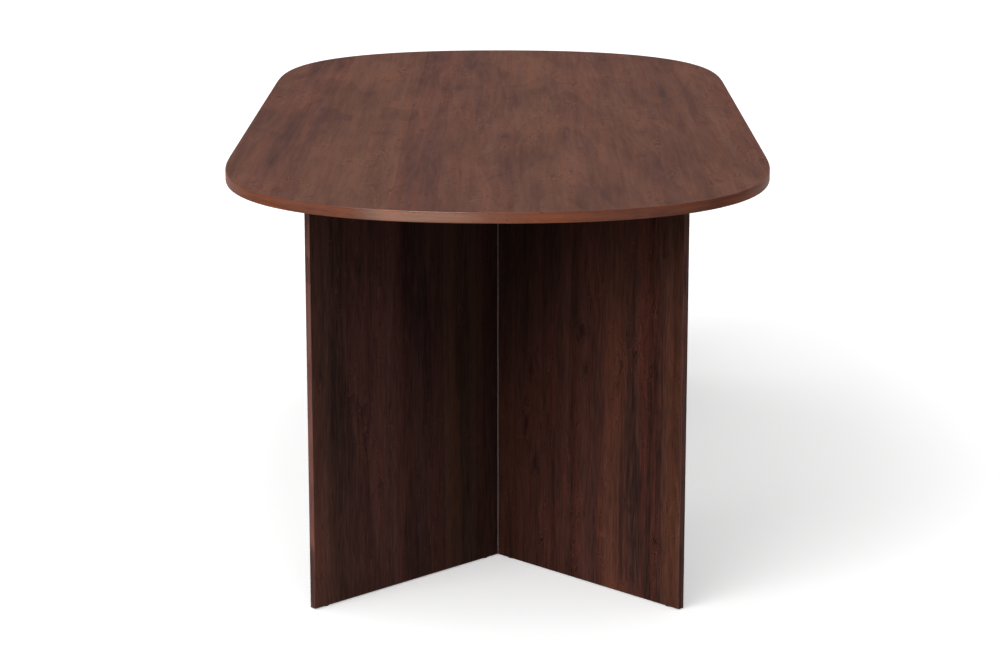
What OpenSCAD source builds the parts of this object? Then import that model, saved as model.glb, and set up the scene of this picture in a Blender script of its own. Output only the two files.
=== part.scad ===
// Long oval dining table: a banded board top on two V-shaped panel legs.
// Origin at floor level under the middle of the top. The top runs along Y, up is Z.
// Each V is a butt joint between two panels, pulled tight by cam locks and located by dowels.

/* [Table] */
// Length of the top from end to end
top_len = 2200; // [1800:10:2600]
// Width of the top from side to side
top_w = 1000; // [900:10:1200]
// Height of the top's upper face above the floor
table_h = 760; // [700:5:780]
// Thickness of the top board
top_t = 19; // [18:1:30]

/* [Curved ends] */
// How far each curved end reaches back along the sides
end_reach = 615; // [450:5:750]
// How full the end is across the table, where 2 is an ellipse
end_power = 2.27; // [2:0.01:3]
// How full the end is along the table, where 2 is an ellipse
side_power = 2.9; // [2:0.01:3.5]

/* [Edge bands] */
// Thickness of the band round the top
top_band_t = 2; // [1.5:0.1:3]
// Radius of the top band's eased arrises
top_band_ease = 1.2; // [0.5:0.1:1.4]
// Thickness of the bands on the leg panels
leg_band_t = 1; // [0.8:0.1:2]
// Radius of the leg bands' eased arrises
leg_band_ease = 0.7; // [0.3:0.1:0.7]
// Thickness of the sealing strip on the butting panel's inner end
seal_t = 1; // [0.5:0.1:2]

/* [Legs] */
// Thickness of the leg panels
panel_t = 13; // [12.5:0.5:18]
// Length of each arm of the V, from its inner corner
arm_len = 460; // [380:5:520]
// Distance from the end of the top to the tips of the V
end_overhang = 200; // [150:5:300]

/* [Corner joint] */
// Diameter of a cam lock
cam_d = 12; // [11:0.5:15]
// Depth of a cam lock in its panel
cam_depth = 9.5; // [9:0.1:10]
// Distance from the joint to a cam lock's centre
cam_inset = 24; // [18:1:34]
// Distance from the panel's top and bottom edges to the outer cam locks
cam_end_gap = 120; // [80:5:180]
// Diameter of the cam bolt's thread
bolt_d = 5; // [4:0.1:6]
// Depth of the cam bolt's thread in the through panel
bolt_bite = 9; // [6:0.5:10]
// Diameter of the cam bolt's head
bolt_head_d = 6; // [5.5:0.1:6.4]
// Length of the cam bolt's head
bolt_head_len = 2.5; // [1.5:0.1:3]
// Diameter of the neck that the cam grips
bolt_neck_d = 3.4; // [3:0.1:4]
// Diameter of the cover cap's flange
cap_d = 16; // [16:0.5:20]
// Thickness of the cover cap's flange
cap_t = 1; // [0.6:0.1:1.5]
// Diameter of a dowel
dowel_d = 6; // [5:0.5:8]
// Length of a dowel
dowel_len = 28; // [20:1:35]
// Depth of a dowel in the through panel
dowel_bite = 8; // [6:0.5:10]

/* [Angle brackets] */
// Width of a bracket
bracket_w = 34; // [30:1:50]
// Length of each of a bracket's legs
bracket_leg = 38; // [34:1:50]
// Thickness of the bracket's steel
bracket_t = 2; // [1.5:0.1:3]
// Inner radius of the bracket's bend
bracket_bend = 1.5; // [0.5:0.1:3]
// Radius of the corners at the bracket's ends
bracket_corner = 5; // [1:0.5:8]
// Distance between the two screws in one leg
screw_gap = 16; // [14:1:18]
// Distance from the bracket's heel to its screws
screw_reach = 23; // [20:1:26]
// Distance from the V's corner, and from the arm's tip, to a bracket's middle
bracket_inset = 95; // [80:5:140]

/* [Screws and glides] */
// Diameter of a screw's shank
screw_d = 4; // [3:0.1:4.5]
// Diameter of a screw's head
screw_head_d = 8; // [7:0.1:9]
// Height of a screw's head
screw_head_h = 2.4; // [1.8:0.1:3]
// Length of the screws into the top, under the head
top_screw_len = 16; // [12:0.5:17]
// Length of the screws into a panel, under the head
panel_screw_len = 11; // [9:0.5:12]
// Diameter of a floor glide
glide_d = 12; // [10:0.5:12.5]
// Height of a floor glide, the gap under the panels
glide_h = 2; // [1.5:0.1:4]
// Length of a glide's nail
nail_len = 14; // [10:1:18]
// Diameter of a glide's nail
nail_d = 1.8; // [1.4:0.1:2.2]
// Distance from an arm's tip, and from the V's corner, to a glide's middle
glide_inset = 30; // [20:1:50]

/* [Fits] */
// Clearance all round pins, bolts and nails in their holes
fit_gap = 0.1; // [0.05:0.01:0.15]

/* [Hidden] */

$fn = 48;
// Steps in a quarter of the top's outline, and in a quarter round of its eased arris
quarter_steps = 36;
ease_steps = 5;
// Steps in a quarter round of a panel's band
leg_ease_steps = 4;

// Turn that puts the V's two arms evenly about the table's long axis, opening to the end
v_turn = 225;
front_turn = 0;
rear_turn = 180;

under_top = table_h - top_t;
panel_h = under_top - glide_h;
tip_y = top_len / 2 - end_overhang;
corner_y = tip_y - arm_len * sin(v_turn - 180);

cam_rows = [
    glide_h + cam_end_gap,
    glide_h + panel_h / 2,
    under_top - cam_end_gap
];
dowel_rows = [
    (cam_rows[0] + cam_rows[1]) / 2,
    (cam_rows[1] + cam_rows[2]) / 2
];
bracket_places = [bracket_inset, arm_len - bracket_inset];
glide_places = [glide_inset, arm_len - glide_inset];

// Where the underside of the bolt's head bears on the cam's claws, measured from the joint
head_seat = cam_inset - bolt_head_len / 2;
// Drive recess in the cam's face
drive_d = 4;
drive_depth = 1.5;
drive_slot_w = 1.2;
drive_slot_len = 8;
// Free length at the end of a hole, past the tip of what is in it
tip_clear = 0.5;
// Small overrun that makes a cut pass right through a face
cut_over = 1;

// The top's outline

function super_x(t) = top_w / 2 * pow(sin(t), 2 / end_power);
function super_y(t) = top_len / 2 - end_reach + end_reach * pow(cos(t), 2 / side_power);
function slope_x(t) = end_power * pow(super_x(t) / (top_w / 2), end_power - 1) / (top_w / 2);
function slope_y(t) =
    let(v = (super_y(t) - (top_len / 2 - end_reach)) / end_reach)
    side_power * pow(max(v, 0), side_power - 1) / end_reach;

// A point of the first quarter, moved in from the edge by a distance along its normal
function quarter_point(t, inset) =
    let(nx = slope_x(t), ny = slope_y(t), n = norm([nx, ny]))
    [super_x(t) - inset * nx / n, super_y(t) - inset * ny / n];

// Each quarter runs from the tip of the end to where the straight side starts
function quarter(inset) =
    [for (k = [0 : quarter_steps]) quarter_point(90 * k / quarter_steps, inset)];

// The whole outline, anticlockwise, with the tips of the ends written once
function outline(inset) =
    let(q = quarter(inset), last = quarter_steps)
    concat(
        [for (k = [last : -1 : 0]) q[k]],
        [for (k = [1 : last]) [-q[k].x, q[k].y]],
        [for (k = [last : -1 : 0]) [-q[k].x, -q[k].y]],
        [for (k = [1 : last]) [q[k].x, -q[k].y]]
    );

// The band's section as pairs of inset and height, from the inner bottom edge round the outside
band_section = concat(
    [[top_band_t, under_top]],
    [for (k = [0 : ease_steps])
        let(a = 90 * k / ease_steps)
        [top_band_ease * (1 - sin(a)), under_top + top_band_ease * (1 - cos(a))]],
    [for (k = [0 : ease_steps])
        let(a = 90 * k / ease_steps)
        [top_band_ease * (1 - cos(a)), table_h - top_band_ease * (1 - sin(a))]],
    [[top_band_t, table_h]]
);

// Places

// Moves a V, built about its inner corner with its arms along X and Y, to an end of the table
module at_v(turn) {
    rotate(turn)
        translate([0, -corner_y, 0])
            rotate(v_turn)
                children();
}

// Repeats what is built on the through panel's arm on both arms of the V
module both_arms() {
    children();
    mirror([1, -1, 0]) children();
}

// Points Z along the through panel's thickness, outwards from its hidden face
module at_hidden_face(along, up) {
    translate([along, -panel_t, up])
        rotate([90, 0, 0])
            children();
}

// Points Z out of the joint, into the butting panel, in the middle of the panels' thickness
module at_joint(up) {
    translate([-panel_t / 2, 0, up])
        rotate([-90, 0, 0])
            children();
}

// Points Z out of the butting panel's hidden face at a cam lock's centre
module at_cam(up) {
    translate([-panel_t, cam_inset, up])
        rotate([0, -90, 0])
            children();
}

// Holes

module bolt_hole() {
    translate([0, 0, -bolt_bite])
        cylinder(d = bolt_d, h = bolt_bite + cut_over);
}

module bolt_channel() {
    translate([0, 0, -cut_over])
        cylinder(d = max(bolt_d, bolt_head_d) + 2 * fit_gap, h = cam_inset + cut_over);
}

module dowel_hole() {
    translate([0, 0, -dowel_bite])
        cylinder(d = dowel_d + 2 * fit_gap, h = dowel_len);
}

module nail_hole() {
    translate([0, 0, glide_h - cut_over])
        cylinder(d = nail_d + 2 * fit_gap, h = nail_len + cut_over);
}

module nail_holes() {
    for (along = glide_places)
        translate([along, -panel_t / 2, 0])
            nail_hole();
}

// Hole for a screw of a given length that also passes through the bracket
module screw_hole(length) {
    depth = length - bracket_t + tip_clear;
    translate([0, 0, -depth])
        cylinder(d = screw_d + 2 * fit_gap, h = depth + cut_over);
}

// The bracket's screws, seen from a leg's outer face: Z runs out of the wood
module leg_screw_pair() {
    for (side = [-1, 1])
        translate([side * screw_gap / 2, -screw_reach, 0])
            children();
}

// Screws through the brackets' upright legs, on one arm
module at_panel_screws() {
    for (along = bracket_places)
        at_hidden_face(along, under_top)
            leg_screw_pair()
                children();
}

// Screws through the brackets' level legs, on one arm
module at_top_screws() {
    for (along = bracket_places)
        translate([along, -panel_t, under_top])
            mirror([0, 0, 1])
                leg_screw_pair()
                    children();
}

// Top

module tabletop_core() {
    color("#6d4a40")
    difference() {
        translate([0, 0, under_top])
            linear_extrude(height = top_t)
                polygon(outline(top_band_t));
        for (turn = [front_turn, rear_turn])
            at_v(turn)
                both_arms()
                    at_top_screws()
                        screw_hole(top_screw_len);
    }
}

module tabletop_edge_band() {
    rings = [for (p = band_section) [for (q = outline(p[0])) [q.x, q.y, p[1]]]];
    n = len(rings[0]);
    m = len(rings);
    points = [for (ring = rings) each ring];
    faces = [
        for (j = [0 : m - 1])
            let(low = j * n, high = ((j + 1) % m) * n)
            for (i = [0 : n - 1])
                let(next = (i + 1) % n)
                each [
                    [low + i, high + next, low + next],
                    [low + i, high + i, high + next]
                ]
    ];
    color("#7f5040")
        polyhedron(points = points, faces = faces);
}

// Leg panels

module panel_board(from, to) {
    translate([from, -panel_t, glide_h])
        cube([to - from, panel_t, panel_h]);
}

module through_panel() {
    color("#4a2d27")
    difference() {
        panel_board(leg_band_t - panel_t, arm_len - leg_band_t);
        for (up = cam_rows)
            at_joint(up) bolt_hole();
        for (up = dowel_rows)
            at_joint(up) dowel_hole();
        at_panel_screws() screw_hole(panel_screw_len);
        nail_holes();
    }
}

module butt_panel() {
    color("#523229")
    difference() {
        mirror([1, -1, 0])
            panel_board(seal_t, arm_len - leg_band_t);
        for (up = cam_rows) {
            at_joint(up) bolt_channel();
            at_cam(up) cam_pocket();
        }
        for (up = dowel_rows)
            at_joint(up) dowel_hole();
        mirror([1, -1, 0]) {
            at_panel_screws() screw_hole(panel_screw_len);
            nail_holes();
        }
    }
}

// A band's section across a panel's end: flat against the board, both outer arrises eased
module end_band_section() {
    e = leg_band_ease;
    arc = [for (k = [0 : leg_ease_steps]) 90 * k / leg_ease_steps];
    polygon(concat(
        [[0, 0]],
        [for (a = arc) [leg_band_t - e + e * sin(a), e - e * cos(a)]],
        [for (a = arc) [leg_band_t - e + e * cos(a), panel_t - e + e * sin(a)]],
        [[0, panel_t]]
    ));
}

module end_band() {
    translate([0, 0, glide_h])
        linear_extrude(height = panel_h)
            end_band_section();
}

module outer_bands() {
    color("#6b4a41")
    both_arms()
        translate([arm_len - leg_band_t, -panel_t, 0])
            end_band();
}

module corner_band() {
    color("#6b4a41")
    translate([leg_band_t - panel_t, 0, 0])
        rotate(180)
            end_band();
}

module seal_strip() {
    color("#b9aaa4")
    difference() {
        translate([-panel_t, 0, glide_h])
            cube([panel_t, seal_t, panel_h]);
        for (up = cam_rows)
            at_joint(up) bolt_channel();
        for (up = dowel_rows)
            at_joint(up) dowel_hole();
    }
}

// Corner joint

module cam_pocket() {
    translate([0, 0, -cam_depth])
        cylinder(d = cam_d + 2 * fit_gap, h = cam_depth + cut_over);
}

// Thread in the through panel, plain shank, neck and head, about the joint's face
module cam_bolt() {
    neck_from = cam_inset - cam_d / 2 - fit_gap;
    head_to = head_seat + bolt_head_len;
    lead_in = 0.6;
    rotate_extrude()
        polygon([
            [0, -bolt_bite],
            [bolt_d / 2 - lead_in, -bolt_bite],
            [bolt_d / 2, lead_in - bolt_bite],
            [bolt_d / 2, neck_from],
            [bolt_neck_d / 2, neck_from],
            [bolt_neck_d / 2, head_seat],
            [bolt_head_d / 2, head_seat],
            [bolt_head_d / 2, head_to - lead_in],
            [bolt_head_d / 2 - lead_in, head_to],
            [0, head_to]
        ]);
}

// Round housing with claws that hold the bolt's head, open below so that it drops over the head
module cam_lock() {
    head_w = bolt_head_d + 2 * fit_gap;
    neck_w = bolt_neck_d + 2 * fit_gap;
    bolt_level = -panel_t / 2;
    pocket_len = bolt_head_len + fit_gap;
    front = cam_inset - head_seat;
    difference() {
        translate([0, 0, -cam_depth])
            cylinder(d = cam_d, h = cam_depth);
        // Neck slot from the rim to the pocket, on the side that faces the joint
        translate([0, -cam_d / 2 - cut_over, bolt_level])
            rotate([-90, 0, 0])
                cylinder(d = neck_w, h = cam_d / 2 + cut_over);
        translate([-neck_w / 2, -cam_d / 2 - cut_over, -cam_depth - cut_over])
            cube([neck_w, cam_d / 2 + cut_over, cam_depth + cut_over + bolt_level]);
        // Pocket for the head
        translate([0, -front, bolt_level])
            rotate([-90, 0, 0])
                cylinder(d = head_w, h = pocket_len);
        translate([-head_w / 2, -front, -cam_depth - cut_over])
            cube([head_w, pocket_len, cam_depth + cut_over + bolt_level]);
        // Drive recess
        translate([0, 0, -drive_depth])
            cylinder(d = drive_d, h = drive_depth + cut_over);
        for (turn = [45, 135])
            rotate(turn)
                translate([-drive_slot_len / 2, -drive_slot_w / 2, -drive_depth])
                    cube([drive_slot_len, drive_slot_w, drive_depth + cut_over]);
    }
}

// Flange with a short spigot that clips into the cam's drive recess
module cam_cap() {
    spigot_d = drive_d - 2 * fit_gap;
    rotate_extrude()
        polygon([
            [0, -drive_depth + fit_gap],
            [spigot_d / 2, -drive_depth + fit_gap],
            [spigot_d / 2, 0],
            [cap_d / 2, 0],
            [cap_d / 2, cap_t / 2],
            [cap_d / 2 - cap_t / 2, cap_t],
            [0, cap_t]
        ]);
}

module cam_bolts() {
    color("silver")
    for (up = cam_rows)
        at_joint(up) cam_bolt();
}

module cam_locks() {
    color("#a9a9ad")
    for (up = cam_rows)
        at_cam(up) cam_lock();
}

module cam_caps() {
    color("#3b2420")
    for (up = cam_rows)
        at_cam(up) cam_cap();
}

module dowels() {
    chamfer = 0.8;
    color("#c9a26f")
    for (up = dowel_rows)
        at_joint(up)
            translate([0, 0, -dowel_bite])
                rotate_extrude()
                    polygon([
                        [0, tip_clear],
                        [dowel_d / 2 - chamfer, tip_clear],
                        [dowel_d / 2, tip_clear + chamfer],
                        [dowel_d / 2, dowel_len - tip_clear - chamfer],
                        [dowel_d / 2 - chamfer, dowel_len - tip_clear],
                        [0, dowel_len - tip_clear]
                    ]);
}

// Brackets, screws and glides

// One leg of a bracket as a flat plate from the bend to its rounded end, with its two holes
module bracket_plate() {
    r = bracket_corner;
    bend_end = bracket_t + bracket_bend;
    linear_extrude(height = bracket_t)
        difference() {
            union() {
                translate([-bracket_w / 2, bend_end])
                    square([bracket_w, bracket_leg - bend_end - r]);
                translate([r - bracket_w / 2, bend_end])
                    square([bracket_w - 2 * r, bracket_leg - bend_end]);
                for (side = [-1, 1])
                    translate([side * (bracket_w / 2 - r), bracket_leg - r])
                        circle(r = r);
            }
            for (side = [-1, 1])
                translate([side * screw_gap / 2, screw_reach])
                    circle(d = screw_d + 4 * fit_gap);
        }
}

// The bend between the legs: a quarter of a tube across the bracket's width
module bracket_bend_piece() {
    outer = bracket_t + bracket_bend;
    translate([-bracket_w / 2, 0, 0])
        rotate([90, 0, 90])
            linear_extrude(height = bracket_w)
                intersection() {
                    translate([outer, outer])
                        difference() {
                            circle(r = outer);
                            circle(r = bracket_bend);
                        }
                    square([outer, outer]);
                }
}

// Both legs start at the heel: one runs along Y and is level, one runs along Z and is upright
module bracket() {
    bracket_plate();
    mirror([0, 1, -1]) bracket_plate();
    bracket_bend_piece();
}

module brackets() {
    color("#8d8f93")
    both_arms()
        for (along = bracket_places)
            translate([along, -panel_t, under_top])
                rotate([180, 0, 0])
                    bracket();
}

// Shank with a point, and a low domed head whose underside is at zero
module screw(length) {
    point = 2.5;
    dome = screw_head_h / 2;
    rotate_extrude()
        polygon(concat(
            [
                [0, -length],
                [screw_d / 2, point - length],
                [screw_d / 2, 0],
                [screw_head_d / 2, 0]
            ],
            [for (a = [0 : 15 : 90])
                [screw_head_d / 2 - dome + dome * cos(a), screw_head_h - dome + dome * sin(a)]],
            [[0, screw_head_h]]
        ));
}

module top_screws() {
    color("silver")
    both_arms()
        at_top_screws()
            translate([0, 0, bracket_t])
                screw(top_screw_len);
}

module panel_screws() {
    color("silver")
    both_arms()
        at_panel_screws()
            translate([0, 0, bracket_t])
                screw(panel_screw_len);
}

// Plastic foot with its nail, standing on the floor
module floor_glide() {
    ease = glide_h / 4;
    nail_top = glide_h + nail_len - tip_clear;
    rotate_extrude()
        polygon([
            [0, 0],
            [glide_d / 2 - ease, 0],
            [glide_d / 2, ease],
            [glide_d / 2, glide_h],
            [nail_d / 2, glide_h],
            [nail_d / 2, nail_top - nail_d],
            [0, nail_top]
        ]);
}

module floor_glides() {
    color("#2b2b2b")
    both_arms()
        for (along = glide_places)
            translate([along, -panel_t / 2, 0])
                floor_glide();
}

tabletop_core();
tabletop_edge_band();
at_v(front_turn) through_panel();  // front_through_panel
at_v(front_turn) butt_panel();  // front_butt_panel
at_v(rear_turn) through_panel();  // rear_through_panel
at_v(rear_turn) butt_panel();  // rear_butt_panel
at_v(front_turn) outer_bands();  // front_outer_bands
at_v(rear_turn) outer_bands();  // rear_outer_bands
at_v(front_turn) corner_band();  // front_corner_band
at_v(rear_turn) corner_band();  // rear_corner_band
at_v(front_turn) seal_strip();  // front_seal_strip
at_v(rear_turn) seal_strip();  // rear_seal_strip
at_v(front_turn) cam_bolts();  // front_cam_bolts
at_v(rear_turn) cam_bolts();  // rear_cam_bolts
at_v(front_turn) cam_locks();  // front_cam_locks
at_v(rear_turn) cam_locks();  // rear_cam_locks
at_v(front_turn) cam_caps();  // front_cam_caps
at_v(rear_turn) cam_caps();  // rear_cam_caps
at_v(front_turn) dowels();  // front_dowels
at_v(rear_turn) dowels();  // rear_dowels
at_v(front_turn) brackets();  // front_brackets
at_v(rear_turn) brackets();  // rear_brackets
at_v(front_turn) top_screws();  // front_top_screws
at_v(rear_turn) top_screws();  // rear_top_screws
at_v(front_turn) panel_screws();  // front_panel_screws
at_v(rear_turn) panel_screws();  // rear_panel_screws
at_v(front_turn) floor_glides();  // front_floor_glides
at_v(rear_turn) floor_glides();  // rear_floor_glides
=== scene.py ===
"""Oval dining table: the finished look of a long banded top on two V-shaped panel legs."""

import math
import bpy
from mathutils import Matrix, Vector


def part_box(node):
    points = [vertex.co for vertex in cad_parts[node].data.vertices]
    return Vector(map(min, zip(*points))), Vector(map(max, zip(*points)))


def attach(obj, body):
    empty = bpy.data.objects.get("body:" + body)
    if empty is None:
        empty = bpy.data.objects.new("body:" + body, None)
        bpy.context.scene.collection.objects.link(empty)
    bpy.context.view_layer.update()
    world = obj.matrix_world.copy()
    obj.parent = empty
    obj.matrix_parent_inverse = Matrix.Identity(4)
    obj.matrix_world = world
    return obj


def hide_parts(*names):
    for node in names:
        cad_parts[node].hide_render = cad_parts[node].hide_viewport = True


bl_info = {
    "name": "Oval Dining Table",
    "version": (1, 0, 0),
    "blender": (4, 5, 0),
    "location": "View3D > Sidebar > Table",
    "description": "Builds the smooth banded top and the screws, and gives every piece its finish",
    "category": "Object",
}

from functools import partial

import bpy
import numpy as np
from mathutils import Vector

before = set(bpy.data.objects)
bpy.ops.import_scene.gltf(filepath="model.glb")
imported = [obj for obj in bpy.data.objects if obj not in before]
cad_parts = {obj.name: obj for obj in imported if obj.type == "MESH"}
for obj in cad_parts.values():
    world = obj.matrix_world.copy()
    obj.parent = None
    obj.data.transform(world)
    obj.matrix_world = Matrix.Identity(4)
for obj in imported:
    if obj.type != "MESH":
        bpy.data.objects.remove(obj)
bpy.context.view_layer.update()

TOP_LOW, TOP_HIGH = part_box("tabletop_edge_band")
TOP_WIDTH = TOP_HIGH.x - TOP_LOW.x
TOP_LENGTH = TOP_HIGH.y - TOP_LOW.y
UNDER_TOP = TOP_LOW.z
TABLE_HEIGHT = TOP_HIGH.z
LEGS = ("front", "rear")
HALF_ROOT = math.sqrt(0.5)
ARM_LENGTH = 0.46
TIP_INSET = 0.2


# Settings that a user would change


def length_setting(name, description, default):
    """A length property, in metres"""
    return bpy.props.FloatProperty(name=name, description=description, default=default, unit="LENGTH")


def number_setting(name, description, default):
    """A plain number property"""
    return bpy.props.FloatProperty(name=name, description=description, default=default)


def angle_setting(name, description, degrees):
    """An angle property, whose default is given in degrees"""
    return bpy.props.FloatProperty(
        name=name, description=description, default=math.radians(degrees), unit="ROTATION"
    )


def colour_setting(name, description, default):
    """A colour property, in linear red, green and blue"""
    return bpy.props.FloatVectorProperty(
        name=name, description=description, default=default, subtype="COLOR", min=0.0, max=1.0
    )


class TableTopSizes(bpy.types.PropertyGroup):
    """Form of the top's outline and of the band round it"""

    end_reach: length_setting("End Reach", "How far each curved end reaches back along the sides", 0.615)
    end_power: number_setting(
        "End Fullness", "How full the end is across the table, where 2 is an ellipse", 2.27
    )
    side_power: number_setting(
        "Side Fullness", "How full the end is along the table, where 2 is an ellipse", 2.9
    )
    band_thickness: length_setting("Band Thickness", "Thickness of the band round the top", 0.002)
    band_ease: length_setting("Band Ease", "Radius of the band's eased arrises", 0.0012)
    points_round: bpy.props.IntProperty(
        name="Points Round", description="Points on one turn round the top", default=960
    )


class ScrewSizes(bpy.types.PropertyGroup):
    """Form and places of the screws in the angle brackets, and the leg panels that they stand in"""

    corner_offset: length_setting(
        "Corner Offset",
        "Distance from the middle of the table to the inner corner of a V",
        TOP_LENGTH / 2 - TIP_INSET - ARM_LENGTH * HALF_ROOT,
    )
    arm_length: length_setting("Arm Length", "Length of each arm of a V, from its inner corner", ARM_LENGTH)
    panel_thickness: length_setting("Panel Thickness", "Thickness of the leg panels", 0.013)
    bracket_inset: length_setting(
        "Bracket Inset", "Distance from the corner, and from the arm's tip, to a bracket's middle", 0.095
    )
    bracket_thickness: length_setting("Bracket Thickness", "Thickness of the bracket's steel", 0.002)
    screw_reach: length_setting("Screw Reach", "Distance from a bracket's heel to its screws", 0.023)
    screw_gap: length_setting(
        "Screw Gap", "Distance between the two screws in one leg of a bracket", 0.016
    )
    shank_radius: length_setting("Shank Radius", "Radius of a screw's shank", 0.002)
    head_radius: length_setting("Head Radius", "Radius of a screw's head", 0.004)
    head_height: length_setting("Head Height", "Height of a screw's head", 0.0024)
    top_screw_length: length_setting(
        "Top Screw Length", "Length under the head of the screws into the top", 0.016
    )
    panel_screw_length: length_setting(
        "Panel Screw Length", "Length under the head of the screws into a panel", 0.011
    )


class WoodTones(bpy.types.PropertyGroup):
    """Light and dark tones of the printed wood"""

    top_light: colour_setting("Top Light", "Light grain of the top", (0.145, 0.0627, 0.0445))
    top_dark: colour_setting("Top Dark", "Dark grain of the top", (0.066, 0.031, 0.0255))
    top_band_light: colour_setting(
        "Top Band Light", "Light grain of the top's band", (0.214, 0.068, 0.036)
    )
    top_band_dark: colour_setting("Top Band Dark", "Dark grain of the top's band", (0.085, 0.027, 0.017))
    leg_light: colour_setting("Leg Light", "Light grain of the leg panels", (0.115, 0.0458, 0.0330))
    leg_dark: colour_setting("Leg Dark", "Dark grain of the leg panels", (0.0235, 0.0114, 0.0095))
    leg_band_light: colour_setting(
        "Leg Band Light", "Light grain of the bands on the legs", (0.144, 0.0595, 0.048)
    )
    leg_band_dark: colour_setting(
        "Leg Band Dark", "Dark grain of the bands on the legs", (0.050, 0.022, 0.019)
    )
    chipboard: colour_setting("Chipboard", "Raw edge of the boards", (0.42, 0.30, 0.19))


class StageSettings(bpy.types.PropertyGroup):
    """Camera, lamps and floor"""

    camera_place: bpy.props.FloatVectorProperty(
        name="Camera Place",
        description="Where the camera stands",
        default=(0.0225, -5.480, 1.5646),
        subtype="TRANSLATION",
        unit="LENGTH",
    )
    camera_pitch: angle_setting("Camera Pitch", "How far the camera looks down", 12.987)
    camera_heading: angle_setting(
        "Camera Heading", "How far the camera is turned left of the table's length", 0.214
    )
    camera_lens: number_setting(
        "Camera Lens", "Focal length in millimetres, for a picture 36 mm wide", 96.8
    )
    sky: number_setting("Sky", "Level of the even light from all round", 0.20)
    overhead: number_setting("Overhead", "Share of the wide light from above", 0.38)
    side: number_setting("Side", "Share of the wide light from the left", 0.15)
    key: number_setting("Key", "Share of the soft main light from the front left", 0.235)
    front: number_setting("Front", "Share of the light from above the camera", 0.10)
    strip: number_setting("Strip", "Brightness of the low strip light, where 1 is white", 20.0)
    high_strip: number_setting("High Strip", "Brightness of the high strip light, where 1 is white", 95.0)
    key_bearing: angle_setting(
        "Key Bearing", "Where the main light comes from, anticlockwise from the table's right", 229.0
    )
    key_height: angle_setting("Key Height", "Angle of the main light above the floor", 28.0)
    key_spread: angle_setting("Key Spread", "Angle across the main light, which softens the shadow", 44.0)
    floor_bounce: number_setting("Floor Bounce", "Share of light that the floor throws on the table", 0.35)
    floor_shade: number_setting("Floor Shade", "How strongly the floor shows the shadow", 0.87)
    floor_lift: number_setting("Floor Lift", "Plain light that the floor shows on top", 0.32)


# Meshes


SHARP_ANGLE = math.radians(30)
OUTLINE_STEPS = 3000
ARRIS_POINTS = 9
FACE_POINTS = 3
BOARD_RINGS = np.array([1, 0.97, 0.9, 0.8, 0.65, 0.5, 0.35, 0.2, 0.08])

# The screw head's grid lines, dome and cross, as shares of its radius and height; then the length of the
# point, and the angles of the first screw and from one to the next
HEAD_LINES = np.array([-1, -0.8, -0.62, -0.56, -0.54, -0.3, -0.14, -0.11, 0])
HEAD_RIM = 0.45
CROSS_HALF_WIDTH = 0.12
CROSS_REACH = 0.55
CROSS_DEPTH = 0.62
CROSS_RISE = 0.5
POINT_LENGTH = 0.0025
FIRST_TURN, NEXT_TURN = 0.7, 2.4


def mesh_piece(name, points, faces):
    """Makes a mesh object at the origin from points and faces, smooth but for its arrises"""
    mesh = bpy.data.meshes.new(name)
    mesh.from_pydata(points.tolist(), [], faces)
    mesh.validate()
    mesh.polygons.foreach_set("use_smooth", np.ones(len(mesh.polygons), bool))
    mesh.set_sharp_from_angle(angle=SHARP_ANGLE)
    piece = bpy.data.objects.new(name, mesh)
    bpy.context.scene.collection.objects.link(piece)
    return piece


def strip_faces(rows, columns, close_rows=False):
    """Faces of a grid whose columns run round a closed turn: each face joins four neighbours"""
    count = rows if close_rows else rows - 1
    row, column = np.meshgrid(np.arange(count), np.arange(columns), indexing="ij")
    low, high = row * columns, (row + 1) % rows * columns
    after = (column + 1) % columns
    return np.stack([low + column, low + after, high + after, high + column], -1).reshape(-1, 4)


def top_outline(sizes):
    """Points and outward normals on one turn round the top, evenly by length, from the rear tip

    Each curved end is |x / half width| ^ end power + |(y - start) / reach| ^ side power = 1. In a
    quarter, x = half width * sin(t) ^ (2 / end power) and y = start + reach * cos(t) ^ (2 / side power).
    The normal is the slope of the left side of that equation. The turn runs anticlockwise.
    """
    half_width, reach = TOP_WIDTH / 2, sizes.end_reach
    start = TOP_LENGTH / 2 - reach
    t = np.linspace(0, np.pi / 2, OUTLINE_STEPS)
    across = np.sin(t) ** (2 / sizes.end_power)
    along = np.clip(np.cos(t), 0, 1) ** (2 / sizes.side_power)
    x, y = half_width * across, start + reach * along
    slope_x = sizes.end_power * across ** (sizes.end_power - 1) / half_width
    slope_y = sizes.side_power * along ** (sizes.side_power - 1) / reach
    quarter = np.stack([x, y, slope_x, slope_y], 1)
    turns = [
        quarter[:-1] * (-1, 1, -1, 1),
        quarter[::-1][:-1] * (-1, -1, -1, -1),
        quarter[:-1] * (1, -1, 1, -1),
        quarter[::-1][:-1] * (1, 1, 1, 1),
    ]
    turn = np.concatenate(turns + [turns[0][:1]])
    run = np.concatenate([[0], np.cumsum(np.hypot(*np.diff(turn[:, :2], axis=0).T))])
    stops = np.linspace(0, run[-1], sizes.points_round, endpoint=False)
    even = np.stack([np.interp(stops, run, turn[:, k]) for k in range(4)], 1)
    normal = even[:, 2:] / np.linalg.norm(even[:, 2:], axis=1, keepdims=True)
    return even[:, :2], normal, stops, run[-1]


def raised(flat, heights):
    """Rows of flat points, each row lifted to its own height"""
    rise = np.repeat(heights[:, None], flat.shape[1], 1)[..., None]
    return np.concatenate([flat, rise], -1)


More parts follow.
